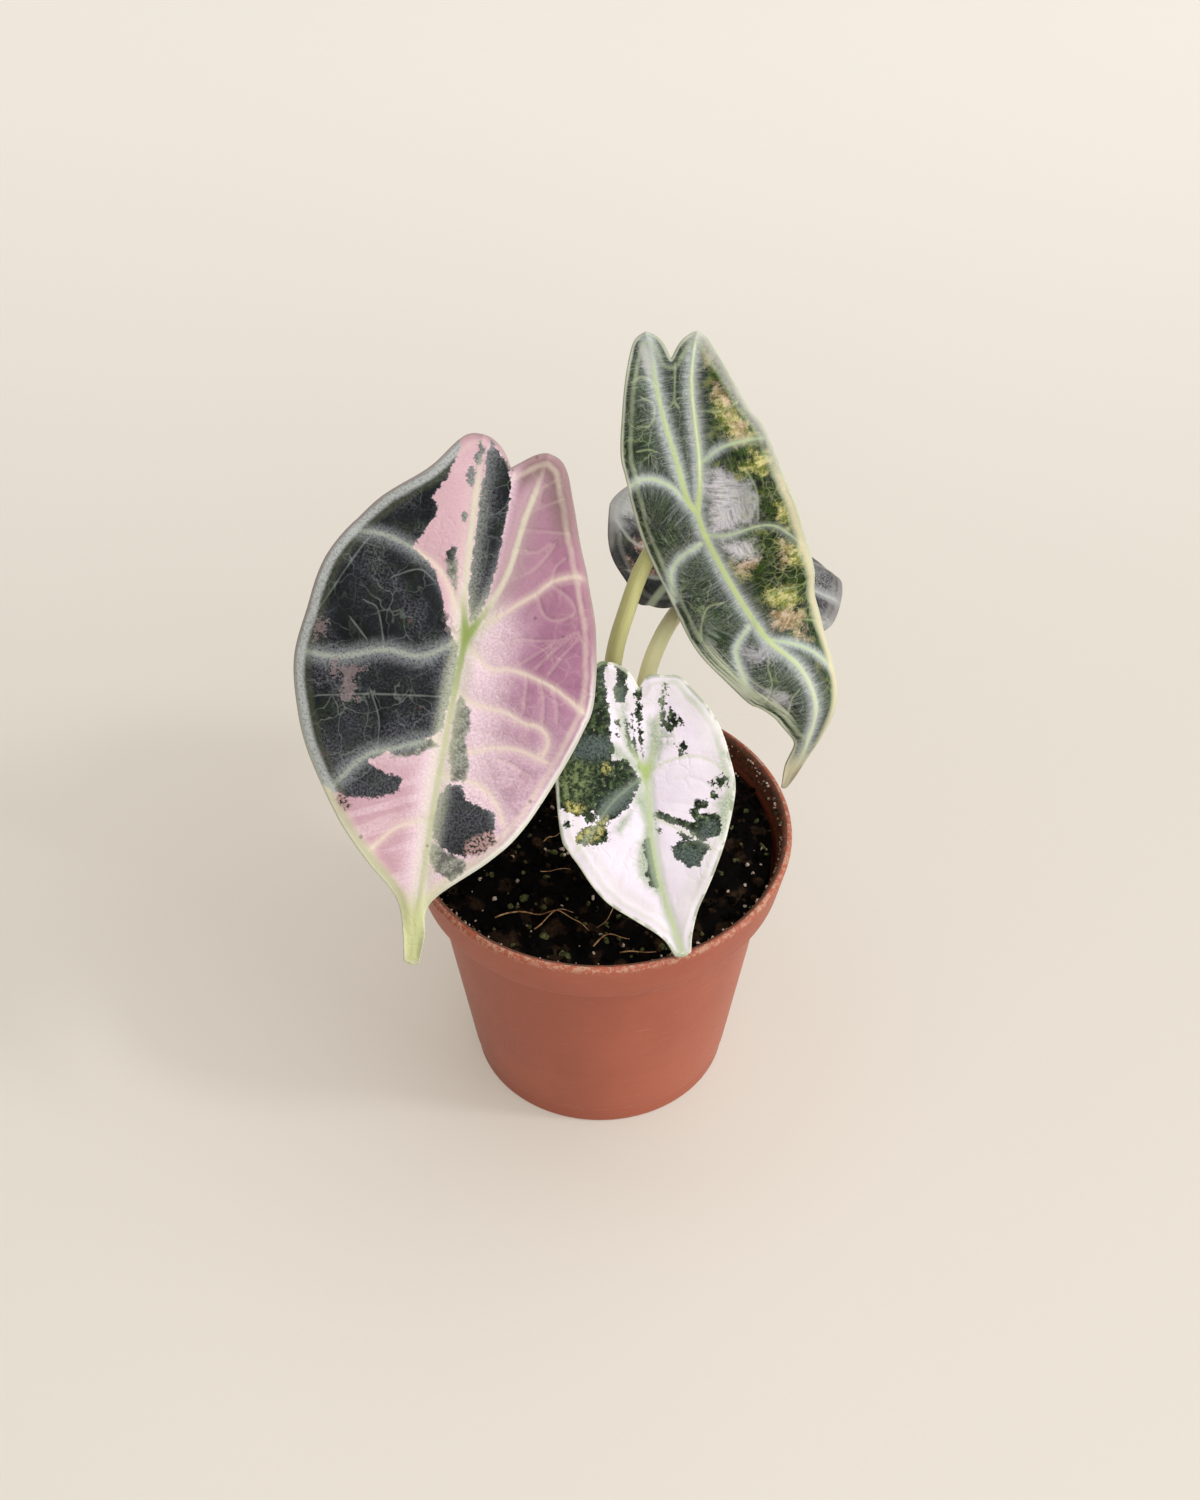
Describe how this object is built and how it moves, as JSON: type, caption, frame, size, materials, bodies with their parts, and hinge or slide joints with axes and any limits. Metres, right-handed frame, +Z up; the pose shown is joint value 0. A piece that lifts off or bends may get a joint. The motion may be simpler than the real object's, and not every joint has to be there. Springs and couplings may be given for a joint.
{
  "type": "potted alocasia plant",
  "caption": "Young alocasia with variegated arrow-shaped leaves on slender stalks, growing in a small flared plastic nursery pot filled with dark potting mix.",
  "frame": {"origin": "centre of the pot's underside, on the surface that the pot stands on", "axes": "+Z up along the pot's axis, -Y towards the side the picture was taken from, +X to the right of the picture"},
  "size_m": [0.0824, 0.0798, 0.1232],
  "materials": {
    "pot_plastic": "satin",
    "potting_mix": "rough",
    "corm_skin": "rough",
    "stalk_green": "satin",
    "blade_pink": "satin",
    "blade_white": "satin",
    "blade_green": "satin",
    "blade_back": "satin"
  },
  "bodies": {
    "root": {"pot": "pot_plastic", "soil": "potting_mix", "rootstock": "corm_skin", "petiole_pink": "stalk_green", "leaf_pink": "blade_pink", "petiole_white": "stalk_green", "leaf_white": "blade_white", "petiole_green": "stalk_green", "leaf_green": "blade_green", "petiole_back": "stalk_green", "leaf_back": "blade_back"}
  },
  "joints": []
}
